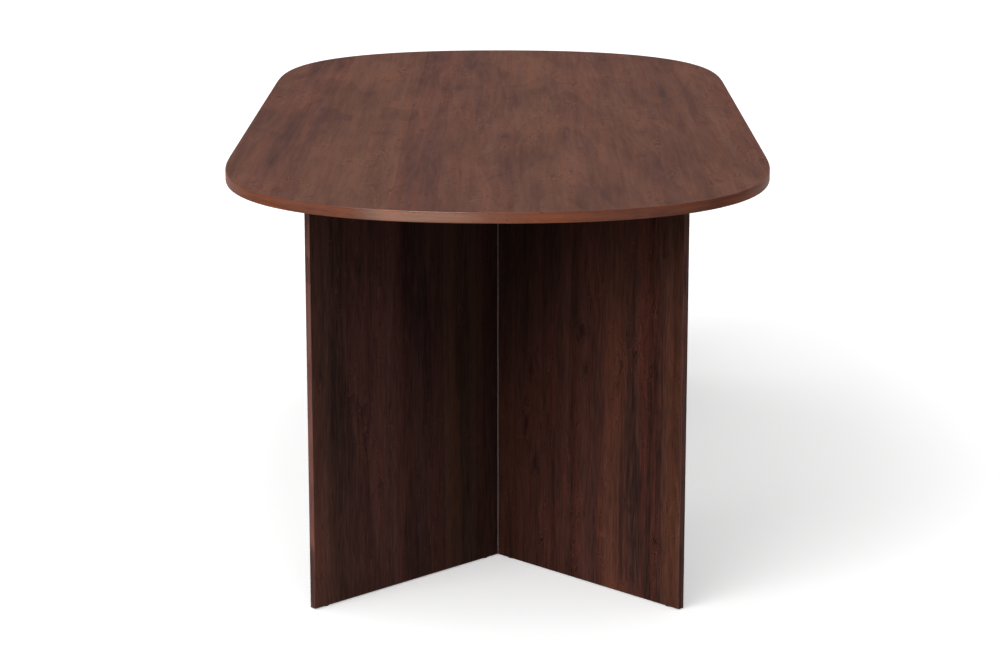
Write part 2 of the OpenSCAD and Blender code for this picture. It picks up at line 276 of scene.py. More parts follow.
def build_top_band(sizes):
    """The band: a rectangle with two quarter-round outer arrises, carried round the top, closed inside

    A section point (inset, height) goes in from the outline along its normal, and up. The UV map holds
    metres: the run round the edge, and the way over the section.
    """
    outline, normal, stops, whole = top_outline(sizes)
    ease, thick = sizes.band_ease, sizes.band_thickness
    turn = np.linspace(0, np.pi / 2, ARRIS_POINTS)
    rising = np.linspace(UNDER_TOP + ease, TABLE_HEIGHT - ease, FACE_POINTS + 2)[1:-1]
    lower = np.stack([ease * (1 - np.sin(turn)), UNDER_TOP + ease * (1 - np.cos(turn))], 1)
    face = np.stack([np.zeros(FACE_POINTS), rising], 1)
    upper = np.stack([ease * (1 - np.cos(turn)), TABLE_HEIGHT - ease * (1 - np.sin(turn))], 1)
    section = np.concatenate([[[thick, UNDER_TOP]], lower, face, upper, [[thick, TABLE_HEIGHT]]])
    points = raised(outline[None] - section[:, 0][:, None, None] * normal[None], section[:, 1])
    rows, columns = points.shape[:2]
    faces = strip_faces(rows, columns, close_rows=True)
    band = mesh_piece("top_edge_band", points.reshape(-1, 3), faces.tolist())
    way = np.concatenate([[0], np.cumsum(np.hypot(*np.diff(section, axis=0).T))])
    row, column = np.divmod(np.arange(len(faces))[:, None], columns)
    run = np.append(stops, whole)[column + (0, 1, 1, 0)]
    over = np.append(way, way[-1] + TABLE_HEIGHT - UNDER_TOP)[row + (0, 0, 1, 1)]
    layer = band.data.uv_layers.new(name="edge_run")
    layer.data.foreach_set("uv", np.stack([run, over], -1).astype(np.float32).ravel())
    return band


def build_top_board(sizes):
    """The board inside the band: rings that shrink evenly from the rim to the middle, above and below"""
    outline, normal, _, _ = top_outline(sizes)
    rim = outline - sizes.band_thickness * normal
    shares = np.concatenate([BOARD_RINGS[::-1], BOARD_RINGS])
    heights = np.repeat([UNDER_TOP, TABLE_HEIGHT], len(BOARD_RINGS))
    points = raised(shares[:, None, None] * rim[None], heights).reshape(-1, 3)
    columns, rows = len(rim), len(shares)
    middle = len(points)
    points = np.concatenate([points, [[0, 0, UNDER_TOP], [0, 0, TABLE_HEIGHT]]])
    last = (rows - 1) * columns
    around = np.arange(columns)
    after = (around + 1) % columns
    faces = strip_faces(rows, columns).tolist()
    faces += np.stack([np.full(columns, middle), after, around], 1).tolist()
    faces += np.stack([last + around, last + after, np.full(columns, middle + 1)], 1).tolist()
    return mesh_piece("top_board", points, faces)


def screw_points(sizes, length):
    """A screw along Z, its head's underside at zero, with a cross recess in a low dome

    The head's top is a square grid (u, v) pressed into a disc: x = u sqrt(1 - v^2 / 2) and
    y = v sqrt(1 - u^2 / 2). Its height is a dome, less a cross whose arms get shallower outwards.
    Rings then close the head's rim, its underside, the shank and the point.
    """
    line = np.concatenate([HEAD_LINES, -HEAD_LINES[-2::-1]])
    v, u = np.meshgrid(line, line, indexing="ij")
    x, y = u * np.sqrt(1 - v * v / 2), v * np.sqrt(1 - u * u / 2)
    radius = np.hypot(x, y)
    height = HEAD_RIM + (1 - HEAD_RIM) * np.sqrt(np.clip(1 - radius**2, 0, 1))
    far, near = np.maximum(abs(u), abs(v)), np.minimum(abs(u), abs(v))
    in_cross = (near < CROSS_HALF_WIDTH) & (far < CROSS_REACH)
    height -= np.where(in_cross, CROSS_DEPTH - CROSS_RISE * far, 0)
    grid = np.stack([x * sizes.head_radius, y * sizes.head_radius, height * sizes.head_height], -1)
    n = len(line)
    index = np.arange(n * n).reshape(n, n)
    faces = np.stack([index[:-1, :-1], index[:-1, 1:], index[1:, 1:], index[1:, :-1]], -1).reshape(-1, 4)
    edge = np.concatenate([index[0, :-1], index[:-1, -1], index[-1, :0:-1], index[:0:-1, 0]])
    ring = grid.reshape(-1, 3)[edge] / (sizes.head_radius, sizes.head_radius, 1)
    bottom = POINT_LENGTH - length
    lower = [(sizes.head_radius, 0), (sizes.shank_radius, 0), (sizes.shank_radius, bottom)]
    rings = [np.c_[ring[:, :2] * radius, np.full(len(ring), up)] for radius, up in lower]
    points = np.concatenate([grid.reshape(-1, 3), *rings, [[0, 0, -length]]])
    previous, all_faces = edge, faces.tolist()
    for k in range(len(rings)):
        following = n * n + k * len(edge) + np.arange(len(edge))
        side = np.stack([previous, following, np.roll(following, -1), np.roll(previous, -1)], -1)
        all_faces += side.tolist()
        previous = following
    tip = len(points) - 1
    all_faces += np.stack([previous, np.full(len(edge), tip), np.roll(previous, -1)], -1).tolist()
    return points, all_faces


def screw_places(sizes, leg, kind):
    """Where a V's screws stand: each head's seat and two directions, along the arm and out of the wood"""
    turn = 1.0 if leg == "front" else -1.0
    corner = np.array([0.0, -sizes.corner_offset * turn, 0.0])
    up = np.array([0.0, 0.0, 1.0])
    left, right = (np.array([side * HALF_ROOT, -HALF_ROOT, 0.0]) * turn for side in (-1, 1))
    places = []
    for arm, other in ((left, right), (right, left)):
        away = -other
        for middle in (sizes.bracket_inset, sizes.arm_length - sizes.bracket_inset):
            heel = corner + arm * middle + away * sizes.panel_thickness + up * UNDER_TOP
            if kind == "top":
                seat, out = heel + away * sizes.screw_reach - up * sizes.bracket_thickness, -up
            else:
                seat, out = heel - up * sizes.screw_reach + away * sizes.bracket_thickness, away
            places += [(seat + arm * side * sizes.screw_gap, arm, out) for side in (-0.5, 0.5)]
    return places


def build_screws(sizes, leg, kind):
    """All screws of one kind on one V as one mesh, each turned by its own angle"""
    length = sizes.top_screw_length if kind == "top" else sizes.panel_screw_length
    shape, shape_faces = screw_points(sizes, length)
    points, faces = [], []
    for number, (seat, arm, out) in enumerate(screw_places(sizes, leg, kind)):
        turn = FIRST_TURN + NEXT_TURN * number
        first = math.cos(turn) * arm + math.sin(turn) * np.cross(out, arm)
        second = np.cross(out, first)
        points.append(seat + shape @ np.stack([first, second, out]))
        faces += [[corner + number * len(shape) for corner in face] for face in shape_faces]
    return mesh_piece(f"{leg}_{kind}_screws_cross", np.concatenate(points), faces)


# Node trees


SHIFT_SHARES = (1.0, 0.7, 1.3)


def fill(tree, socket, value):
    """Joins an input socket to another socket, or sets it to a plain value"""
    if isinstance(value, bpy.types.NodeSocket):
        tree.links.new(value, socket)
    else:
        socket.default_value = value


def put(tree, kind, sockets=None, **settings):
    """Adds a node with its settings, and fills its input sockets by name or number"""
    node = tree.nodes.new(kind)
    for key, value in settings.items():
        setattr(node, key, value)
    for key, value in (sockets or {}).items():
        fill(tree, node.inputs[key], value)
    return node


def reckon(tree, operation, *terms, clamp=False):
    """A Math node's result"""
    node = put(tree, "ShaderNodeMath", dict(enumerate(terms)), operation=operation, use_clamp=clamp)
    return node.outputs[0]


def times(tree, *factors):
    """The product of one or more values"""
    product = factors[0]
    for factor in factors[1:]:
        product = reckon(tree, "MULTIPLY", product, factor)
    return product


def off_middle(tree, value, middle=0.5):
    """How far a value lies above the middle"""
    return reckon(tree, "SUBTRACT", value, middle)


def reckon_place(tree, operation, *terms):
    """A Vector Math node's result"""
    return put(tree, "ShaderNodeVectorMath", dict(enumerate(terms)), operation=operation).outputs[0]


def parts(tree, place):
    """The x, y and z of a place"""
    return put(tree, "ShaderNodeSeparateXYZ", {0: place}).outputs


def joined(tree, *values):
    """A place from its x, y and z"""
    return put(tree, "ShaderNodeCombineXYZ", dict(enumerate(values))).outputs[0]


def picked(tree, colour):
    """The channels of a colour, as random numbers for a cell"""
    return put(tree, "ShaderNodeSeparateColor", {0: colour}).outputs


def ramp(tree, value, low, high, smooth=True, to_low=0.0, to_high=1.0):
    """Takes a value from low..high to the range given, held at both ends"""
    kind = "SMOOTHSTEP" if smooth else "LINEAR"
    sockets = {"Value": value, "From Min": low, "From Max": high, "To Min": to_low, "To Max": to_high}
    return put(tree, "ShaderNodeMapRange", sockets, interpolation_type=kind).outputs[0]


def fade(tree, value, low, high):
    """One up to low, and from there down to zero at high"""
    return ramp(tree, value, low, high, to_low=1.0, to_high=0.0)


def full_range(tree, value, low, high):
    """Stretches the part of a value from low to high over 0..1"""
    return ramp(tree, value, low, high, smooth=False)


def between(tree, share, start, end):
    """The number that a share of 0..1 picks from start to end"""
    return ramp(tree, share, 0.0, 1.0, smooth=False, to_low=start, to_high=end)


def blend(tree, share, first, second):
    """A mix of two colours"""
    node = put(tree, "ShaderNodeMix", {0: share}, data_type="RGBA")
    for number, colour in ((6, first), (7, second)):
        plain = not isinstance(colour, bpy.types.NodeSocket)
        fill(tree, node.inputs[number], (*colour, 1.0) if plain else colour)
    return node.outputs[2]


def tinted(tree, colour, saturation, value, hue=0.5):
    """A colour with its saturation and lightness scaled, and its hue turned, where 0.5 leaves it"""
    sockets = {"Hue": hue, "Saturation": saturation, "Value": value, "Color": colour}
    return put(tree, "ShaderNodeHueSaturation", sockets).outputs[0]


def shaded(tone, *shares):
    """A tone times one share, or times a share for each channel"""
    return tuple(np.multiply(tone, shares).tolist())


def noise(tree, place, **values):
    """A noise texture's value at a place that is already scaled"""
    sockets = {"Vector": place, "Scale": 1.0}
    sockets.update({key.capitalize(): value for key, value in values.items()})
    return put(tree, "ShaderNodeTexNoise", sockets).outputs[0]


def stretched(tree, place, width, length, shift):
    """A place divided by a width across the grain and a length along it, shifted to an area of its own"""
    over_width = reckon(tree, "DIVIDE", 1.0, width)
    over_length = reckon(tree, "DIVIDE", 1.0, length)
    size = joined(tree, over_width, over_length, over_width)
    return reckon_place(tree, "MULTIPLY_ADD", place, size, [shift * share for share in SHIFT_SHARES])


def voronoi_cell(tree, place):
    """The cell that a place lies in, across and along the grain, at a size of one"""
    sockets = {"Vector": place, "Scale": 1.0}
    return put(tree, "ShaderNodeTexVoronoi", sockets, voronoi_dimensions="2D").outputs


def new_group(name, inputs, outputs):
    """An empty shader node group with its sockets, as (tree, what goes in, what comes out)"""
    tree = bpy.data.node_groups.new(name, "ShaderNodeTree")
    for label, default in inputs.items():
        kind = "NodeSocketVector" if default is None else "NodeSocketFloat"
        socket = tree.interface.new_socket(label, in_out="INPUT", socket_type=kind)
        if default is not None:
            socket.default_value = default
    for label in outputs:
        kind = "NodeSocketVector" if label == "Place" else "NodeSocketFloat"
        tree.interface.new_socket(label, in_out="OUTPUT", socket_type=kind)
    return tree, put(tree, "NodeGroupInput").outputs, put(tree, "NodeGroupOutput").inputs


def use_group(tree, name, **sockets):
    """Places a node group in a tree, with its inputs filled by name"""
    node = put(tree, "ShaderNodeGroup", node_tree=bpy.data.node_groups[name])
    for key, value in sockets.items():
        fill(tree, node.inputs[key.replace("_", " ").title()], value)
    return node.outputs


def put_out(tree, result, **values):
    """Joins values to a group's outputs by name"""
    for label, value in values.items():
        tree.links.new(value, result[label])


# The wood figure's noises: width and length in metres until a material sets them, the shift to an area of
# its own, and how it is made
FIGURE_NOISES = {
    "Streak": (0.03, 0.6, 7.7, {"detail": 7.0, "roughness": 0.62, "distortion": 0.1}),
    "Ring": (0.1, 1.2, 12.6, {"detail": 2.0, "roughness": 0.45}),
    "Vein": (0.014, 0.3, 9.4, {"detail": 3.0, "roughness": 0.5, "distortion": 0.3}),
    "Line": (0.003, 0.15, 1.9, {"detail": 3.0, "roughness": 0.6}),
    "Patch": (0.1, 0.3, 5.3, {"detail": 4.0, "roughness": 0.6, "distortion": 0.3}),
    "Curl": (0.04, 0.12, 14.2, {"detail": 2.5, "roughness": 0.55, "distortion": 0.9}),
}
WAVER_GAIN = 4.0
RINGS_IN_NOISE = 9.0
BOARD_SLANT = 0.7
TINT_NARROWNESS = 0.3
LIGHT_CURL, DARK_CURL, CURL_HALF_WIDTH = 0.515, 0.488, 0.016


def make_figure_group():
    """Printed wood figure: streaks, growth rings, boards, dark veins, fine lines, patches and curls

    Each is a noise stretched along the grain, with x across the grain and y along it. The rings are
    the saw teeth of a wide noise, so that each starts sharply and fades. The boards are uneven bands
    across the grain with a tone each. The veins are the few places where a narrow noise runs high, and
    they break off where the patches run high. The curls are thin contour lines of a noise, each a light
    line beside a dark one, kept only where the patches run high. The tints are narrower streaks that say
    how strong the colour is, apart from the tone.
    """
    inputs = {"Place": None, "Board Width": 0.06, "Waver": 0.01}
    for kind, (width, length, _, _) in FIGURE_NOISES.items():
        inputs.update({f"{kind} Width": width, f"{kind} Length": length})
    outputs = ("Streaks", "Rings", "Boards", "Veins", "Lines", "Patches", "Curls", "Tints")
    tree, given, result = new_group("Wood figure", inputs, outputs)
    wander = noise(tree, stretched(tree, given["Place"], width=0.35, length=0.6, shift=3.1), detail=2.0)
    sideways = times(tree, off_middle(tree, wander), given["Waver"], WAVER_GAIN)
    place = reckon_place(tree, "ADD", given["Place"], joined(tree, sideways))
    layers = {}
    for kind, (_, _, shift, values) in FIGURE_NOISES.items():
        area = stretched(tree, place, given[f"{kind} Width"], given[f"{kind} Length"], shift)
        layers[kind] = noise(tree, area, **values)
    patches, veins, curls = layers["Patch"], layers["Vein"], layers["Curl"]
    across, _, through = parts(tree, place)
    across = reckon(tree, "MULTIPLY_ADD", through, BOARD_SLANT, across)
    cell = {"W": reckon(tree, "DIVIDE", across, given["Board Width"]), "Scale": 1.0}
    boards = put(tree, "ShaderNodeTexVoronoi", cell, voronoi_dimensions="1D").outputs["Color"]
    light_line, dark_line = (
        fade(tree, reckon(tree, "ABSOLUTE", off_middle(tree, curls, level)), 0.0, CURL_HALF_WIDTH)
        for level in (LIGHT_CURL, DARK_CURL)
    )
    curled = reckon(tree, "SUBTRACT", light_line, dark_line)
    thin = times(tree, given["Streak Width"], TINT_NARROWNESS)
    tints = stretched(tree, place, thin, given["Streak Length"], shift=17.3)
    put_out(
        tree,
        result,
        Streaks=full_range(tree, layers["Streak"], 0.32, 0.68),
        Rings=reckon(tree, "FRACT", times(tree, layers["Ring"], RINGS_IN_NOISE)),
        Boards=picked(tree, boards)[0],
        Veins=times(tree, ramp(tree, veins, 0.56, 0.72), ramp(tree, patches, 0.62, 0.40)),
        Lines=full_range(tree, layers["Line"], 0.25, 0.75),
        Patches=full_range(tree, patches, 0.30, 0.70),
        Curls=times(tree, curled, ramp(tree, patches, 0.44, 0.60)),
        Tints=full_range(tree, noise(tree, tints, detail=5.0, roughness=0.6), 0.30, 0.70),
    )


def make_knot_group():
    """One knot: the grain swings round it, and its core is dark, with a few thin cracks

    The distance is taken in an ellipse that is long with the grain. Near the knot the place across the
    grain is drawn towards its middle, by a share that falls as e to the power of minus the distance
    squared over a reach, so that lines of even tone bulge round it.
    """
    tree, given, result = new_group(
        "Wood knot",
        {"Place": None, "Offset": None, "Radius": 0.012, "Stretch": 1.8, "Pull": 0.55, "Depth": 1.0},
        ("Place", "Heart", "Cracks"),
    )
    pull_reach, raggedness = 7.0, 1.5
    offset = parts(tree, given["Offset"])
    ragged = noise(tree, stretched(tree, given["Place"], width=0.010, length=0.022, shift=2.2), detail=3.0)
    ragged = times(tree, off_middle(tree, ragged), raggedness)
    wide = reckon(tree, "DIVIDE", offset[0], given["Radius"])
    high = reckon(tree, "DIVIDE", offset[1], times(tree, given["Radius"], given["Stretch"]))
    square = reckon(tree, "ADD", times(tree, wide, wide), times(tree, high, high))
    swing = reckon(tree, "EXPONENT", times(tree, reckon(tree, "DIVIDE", square, pull_reach), -1.0))
    swing = times(tree, swing, given["Pull"], given["Depth"])
    back = joined(tree, times(tree, offset[0], swing, -1.0))
    distance = reckon(tree, "ADD", reckon(tree, "SQRT", square), ragged)
    vein = stretched(tree, given["Place"], width=0.014, length=0.034, shift=8.4)
    vein = off_middle(tree, noise(tree, vein, detail=2.5, distortion=1.4))
    crack = fade(tree, reckon(tree, "ABSOLUTE", vein), 0.006, 0.030)
    put_out(
        tree,
        result,
        Place=reckon_place(tree, "ADD", given["Place"], back),
        Heart=times(tree, fade(tree, distance, 0.35, 1.25), given["Depth"]),
        Cracks=times(tree, crack, fade(tree, square, 1.0, 9.0), given["Depth"]),
    )


def make_tick_group():
    """Small dark pores and ticks, scattered one to a cell and mostly left out"""
    tree, given, result = new_group(
        "Wood ticks",
        {"Place": None, "Spacing Across": 0.02, "Spacing Along": 0.05, "Size": 0.12, "Share": 0.3},
        ("Ticks",),
    )
    bend, solid_share = 0.22, 0.4
    place = stretched(tree, given["Place"], given["Spacing Across"], given["Spacing Along"], shift=4.6)
    bent = put(tree, "ShaderNodeTexNoise", {"Vector": place, "Scale": 3.0, "Detail": 2.0}).outputs[1]
    small = put(tree, "ShaderNodeVectorMath", {0: bent, 3: bend}, operation="SCALE").outputs[0]
    cell = voronoi_cell(tree, reckon_place(tree, "ADD", place, small))
    chosen = reckon(tree, "LESS_THAN", picked(tree, cell["Color"])[0], given["Share"])
    dot = fade(tree, cell["Distance"], times(tree, given["Size"], solid_share), given["Size"])
    put_out(tree, result, Ticks=times(tree, dot, chosen))


def make_mottle_group():
    """Uneven tone of a plated or moulded surface: a soft cloud and a fine speckle"""
    tree, given, result = new_group(
        "Surface mottle", {"Place": None, "Cloud Size": 0.02, "Speckle Size": 0.0008}, ("Cloud", "Speckle")
    )
    for label, shift, detail in (("Cloud", 6.1, 3.0), ("Speckle", 2.7, 1.0)):
        size = given[f"{label} Size"]
        uneven = noise(tree, stretched(tree, given["Place"], size, size, shift), detail=detail)
        put_out(tree, result, **{label: ramp(tree, uneven, 0.3, 0.7)})


# Materials


# How far up the print the panels' hidden faces and the rear V read it, in metres
HIDDEN_LIFT, REAR_LIFT = 0.83, 1.87


def new_material(name, preview):
    """A material with only its shader and output, as (material, tree, shader)"""
    material = bpy.data.materials.new(name)
    material.use_nodes = True
    material.diffuse_color = (*preview, 1.0)
    tree = material.node_tree
    tree.nodes.clear()
    shader = put(tree, "ShaderNodeBsdfPrincipled")
    put(tree, "ShaderNodeOutputMaterial", {0: shader.outputs[0]})
    return material, tree, shader


def emboss(tree, shader, height, strength, distance):
    """Raises and lowers the shading by a height"""
    bump = put(tree, "ShaderNodeBump", {"Height": height, "Strength": strength, "Distance": distance})
    tree.links.new(bump.outputs[0], shader.inputs["Normal"])


def give(piece, material):
    """Puts a material in all of a piece's slots"""
    if not piece.material_slots:
        piece.data.materials.append(material)
    for slot in piece.material_slots:
        slot.material = material


def facing_up(tree):
    """How far a face looks up: one for straight up, zero for sideways and minus one for down"""
    return parts(tree, put(tree, "ShaderNodeNewGeometry").outputs["Normal"])[2]


def board_place(tree):
    """Place on a piece, as it stands: on the top, x is across the grain and y along it"""
    return put(tree, "ShaderNodeTexCoord").outputs["Object"]


def edge_place(tree):
    """Place on the top's band, from its UV map: the way over the section, then the run round the edge"""
    run = parts(tree, put(tree, "ShaderNodeUVMap", uv_map="edge_run").outputs[0])
    return joined(tree, run[1], run[0])


def upright_place(tree, sizes, turn, lift=0.0):
    """Place on a leg panel: x from the V's corner along the arm, y up, and z through the panel

    A panel's hidden face, the rear V's panels and one of a V's two arms read other heights, so that no
    two faces are the same.
    """
    corner = sizes.corner_offset * HALF_ROOT
    mapping = {0: board_place(tree), 2: (0.0, 0.0, turn)}
    turned = parts(tree, put(tree, "ShaderNodeMapping", mapping).outputs[0])
    middle = corner - sizes.panel_thickness / 2
    hidden = reckon(tree, "LESS_THAN", reckon(tree, "ABSOLUTE", turned[1]), middle)
    side = times(tree, turned[0], math.copysign(1, turn))
    rear = reckon(tree, "LESS_THAN", side, 0.0)
    height = reckon(tree, "MULTIPLY_ADD", hidden, HIDDEN_LIFT, turned[2])
    height = reckon(tree, "ADD", reckon(tree, "MULTIPLY_ADD", rear, REAR_LIFT, height), lift)
    along = off_middle(tree, reckon(tree, "ABSOLUTE", side), corner)
    return joined(tree, along, height, reckon(tree, "ADD", turned[1], lift))


def placed_knot(tree, place, across, along, radius, stretch, depth):
    """A knot at a chosen place"""
    offset = reckon_place(tree, "SUBTRACT", place, (across, along, 0.0))
    return use_group(
        tree, "Wood knot", place=place, offset=offset, radius=radius, stretch=stretch, depth=depth
    )


def scattered_knots(tree, place, spacing_across, spacing_along, radius, share, deepest):
    """One knot to a cell of the given size, and only in a share of the cells"""
    size = (spacing_across, spacing_along, 1.0)
    cell = voronoi_cell(tree, reckon_place(tree, "DIVIDE", place, size))
    middle = reckon_place(tree, "MULTIPLY", cell["Position"], size)
    offset = reckon_place(tree, "SUBTRACT", place, middle)
    pick = picked(tree, cell["Color"])
    depth = ramp(tree, pick[0], share * 0.5, share, to_low=deepest, to_high=0.0)
    own_radius = times(tree, reckon(tree, "ADD", pick[1], 0.5), radius)
    return use_group(tree, "Wood knot", place=place, offset=offset, radius=own_radius, depth=depth)


def add_knots(tree, place, look):
    """Chains a look's placed knots and its scattered ones; gives the bent place and two masks"""
    kinds = [partial(placed_knot, **knot) for knot in look.get("knots", ())]
    if "scattered" in look:
        kinds.append(partial(scattered_knots, **look["scattered"]))
    hearts, cracks = 0.0, 0.0
    for kind in kinds:
        knot = kind(tree, place)
        place = knot["Place"]
        hearts = reckon(tree, "MAXIMUM", knot["Heart"], hearts)
        cracks = reckon(tree, "MAXIMUM", knot["Cracks"], cracks)
    return place, hearts, cracks


def use_figure(tree, place, board_width, waver, **noises):
    """The wood figure on a place, with a width and length for each of its noises"""
    sizes = {f"{kind}_width": width for kind, (width, _) in noises.items()}
    sizes.update({f"{kind}_length": length for kind, (_, length) in noises.items()})
    return use_group(tree, "Wood figure", place=place, board_width=board_width, waver=waver, **sizes)


def print_tone(tree, look, figure, place):
    """How light the print is: each layer moves it from its middle, and dark lengths lower it"""
    soft_end, raggedness, darkening = 0.006, 0.05, -0.75
    tone = look["middle"]
    for layer in ("Streaks", "Rings", "Boards", "Lines", "Patches"):
        tone = reckon(tree, "MULTIPLY_ADD", off_middle(tree, figure[layer]), look[layer.lower()], tone)
    tone = reckon(tree, "MULTIPLY_ADD", figure["Curls"], look["curls"], tone)
    for low, high in look.get("dark_lengths", ()):
        ragged = off_middle(tree, figure["Lines"])
        height = reckon(tree, "MULTIPLY_ADD", ragged, raggedness, parts(tree, place)[1])
        above = ramp(tree, height, low - soft_end, low + soft_end)
        below = fade(tree, height, high - soft_end, high + soft_end)
        tone = reckon(tree, "MULTIPLY_ADD", times(tree, above, below), darkening, tone)
    return full_range(tree, tone, 0.0, 1.0)


def painted_shading(tree, look, place):
    """Painted shade and light over the whole print: across a panel, up it, and where the face turns up over
    an arris

    Each is a span of the look: from, to, and the lightness before and after. Across a leg panel it is
    painted shade, darkest in the V's corner. Up a panel it is painted light, lighter towards the floor.
    Over an arris it is painted shade where the face turns up.
    """
    shares = []
    for name, axis in (("painted_shading_across", 0), ("foot", 1), ("arris", 2)):
        if name in look:
            low, high, before, after = look[name]
            value = facing_up(tree) if name == "arris" else parts(tree, place)[axis]
            shares.append(ramp(tree, value, low, high, to_low=before, to_high=after))
    return times(tree, *shares) if shares else 1.0


def laminate(name, place_on, light, dark, look, raw_edge=None):
    """Printed wood laminate: two tones mixed by the figure, with veins, knots, ticks and a faint emboss"""
    vein_shares, knot_strength, darkest_share = (0.62, 0.72, 0.80), 0.8, 0.5
    warm_saturation, warm_lightness, uneven_gloss = 1.12, 1.1, 0.05
    material, tree, shader = new_material(name, light)
    flat_place = place_on(tree)
    place, hearts, cracks = add_knots(tree, flat_place, look)
    figure = use_figure(tree, place, **look["figure"])
    ticks = use_group(tree, "Wood ticks", place=place, **look["ticks"])["Ticks"]
    colour = blend(tree, print_tone(tree, look, figure, flat_place), dark, light)
    warm = ramp(tree, figure["Patches"], 0.2, 0.9, to_low=0.0, to_high=look["warmth"])
    colour = blend(tree, warm, colour, tinted(tree, colour, warm_saturation, warm_lightness))
    veins = times(tree, figure["Veins"], look["veins"])
    colour = blend(tree, veins, colour, shaded(dark, *vein_shares))
    marks = times(tree, reckon(tree, "MAXIMUM", hearts, cracks), knot_strength)
    marks = reckon(tree, "MAXIMUM", marks, times(tree, ticks, look["tick_depth"]))
    colour = blend(tree, marks, colour, shaded(dark, darkest_share))
    # Painted shade and light from the look's spans, laid over the print
    lightness = painted_shading(tree, look, flat_place)
    hue = between(tree, figure["Boards"], 0.5 - look["hues"], 0.5 + look["hues"])
    richness, vary = look.get("richness", 1.0), look["tints"]
    rich = between(tree, figure["Tints"], richness * (1.0 - vary), richness * (1.0 + vary))
    colour = tinted(tree, colour, rich, lightness, hue)
    if raw_edge is not None:
        colour = add_raw_edge(tree, colour, raw_edge)
    tree.links.new(colour, shader.inputs["Base Color"])
    rough = between(tree, figure["Lines"], look["rough"] + uneven_gloss, look["rough"])
    tree.links.new(rough, shader.inputs["Roughness"])
    shader.inputs["Specular IOR Level"].default_value = look["gloss"]
    if "skin" in look:
        add_skin(tree, shader, **look["skin"])
    emboss(tree, shader, figure["Lines"], strength=0.12, distance=0.0002)
    return material


def add_skin(tree, shader, rough, ior, edge):
    """A thin glossy skin, which fades to a share at the edge, where the surface turns away"""
    turned_away = put(tree, "ShaderNodeLayerWeight", {"Blend": 0.5}).outputs["Facing"]
    weight = ramp(tree, turned_away, 0.08, 0.45, to_low=1.0, to_high=edge)
    tree.links.new(weight, shader.inputs["Coat Weight"])
    shader.inputs["Coat Roughness"].default_value = rough
    shader.inputs["Coat IOR"].default_value = ior


def add_raw_edge(tree, colour, raw):
    """Chips of the board's core on faces that look straight up or down"""
    chips_a_metre, darkest_share = 420.0, 0.5
    level = ramp(tree, reckon(tree, "ABSOLUTE", facing_up(tree)), 0.7, 0.9)
    sockets = {"Vector": board_place(tree), "Scale": chips_a_metre}
    chips = put(tree, "ShaderNodeTexVoronoi", sockets).outputs["Color"]
    core = blend(tree, picked(tree, chips)[0], shaded(raw, darkest_share), raw)
    return blend(tree, level, colour, core)


def mottled(name, tone, dull, cloud_size, speckle_size, depth):
    """A material with a cloudy tone and a fine speckle, as (material, tree, shader, mottle)"""
    material, tree, shader = new_material(name, tone)
    mottle = use_group(
        tree, "Surface mottle", place=board_place(tree), cloud_size=cloud_size, speckle_size=speckle_size
    )
    colour = blend(tree, mottle["Cloud"], shaded(tone, dull), tone)
    tree.links.new(colour, shader.inputs["Base Color"])
    emboss(tree, shader, mottle["Speckle"], strength=depth, distance=0.0001)
    return material, tree, shader, mottle


def metal(name, tone, rough, spread, cloud_size):
    """Plated or cast metal: a cloudy tone and an uneven polish"""
    material, tree, shader, mottle = mottled(
        name, tone, dull=0.8, cloud_size=cloud_size, speckle_size=0.0006, depth=0.1
    )
    polish = between(tree, mottle["Cloud"], rough + spread, rough - spread)
    tree.links.new(polish, shader.inputs["Roughness"])
    shader.inputs["Metallic"].default_value = 1.0
    return material


def moulded(name, tone, rough):
    """Moulded plastic, or plain wood: one tone with a slight cloud and a fine, even grain"""
    material, tree, shader, mottle = mottled(
        name, tone, dull=0.85, cloud_size=0.008, speckle_size=0.0005, depth=0.25
    )
    smoother, rougher = 0.04, 0.06
    grain = between(tree, mottle["Speckle"], rough - smoother, rough + rougher)
    tree.links.new(grain, shader.inputs["Roughness"])
    return material


# Looks: width and length of the figure's noises in metres, how far each of its layers moves the tone from
# its middle, how deep veins and ticks are, how far hue, strength and warmth vary, roughness and gloss. Some
# also have knots, lengths where the print is dark, spans of painted shade and light, a richer colour and a
# glossy skin
TOP_LOOK = {
    "figure": {
        "streak": (0.040, 0.78), "ring": (0.20, 1.4), "vein": (0.030, 0.30), "line": (0.007, 0.15),
        "patch": (0.11, 0.40), "curl": (0.040, 0.15), "board_width": 0.09, "waver": 0.006,
    },
    "ticks": {"spacing_across": 0.050, "spacing_along": 0.060, "size": 0.10, "share": 0.35},
    "scattered": {
        "spacing_across": 0.13, "spacing_along": 0.22, "radius": 0.011, "share": 0.55, "deepest": 0.35,
    },
    "middle": 0.54, "streaks": 0.66, "rings": 0.20, "boards": 0.20, "lines": 0.34, "patches": 0.44,
    "curls": 0.50, "veins": 0.25, "tick_depth": 0.40,
    "hues": 0.004, "tints": 0.06, "warmth": 0.12, "rough": 0.78, "gloss": 0.02,
}
BAND_LOOK = {
    "figure": {
        "streak": (0.010, 0.16), "ring": (0.03, 0.4), "vein": (0.006, 0.06), "line": (0.0018, 0.03),
        "patch": (0.04, 0.12), "curl": (0.02, 0.06), "board_width": 0.02, "waver": 0.003,
    },
    "ticks": {"spacing_across": 0.014, "spacing_along": 0.055, "size": 0.08, "share": 0.22},
    "middle": 0.6, "streaks": 0.6, "rings": 0.1, "boards": 0.1, "lines": 0.3, "patches": 0.6,
    "curls": 0.2, "veins": 0.4, "tick_depth": 0.7,
    "hues": 0.004, "tints": 0.04, "warmth": 0.5, "rough": 0.6, "gloss": 0.02,
    # Painted shade: the band is printed darker where its face turns up over the eased arris, to hold down
    # the light from above there. The leg bands take this over
    "arris": (0.2, 0.6, 1.0, 0.72),
    "skin": {"rough": 0.27, "ior": 1.21, "edge": 0.15},
}
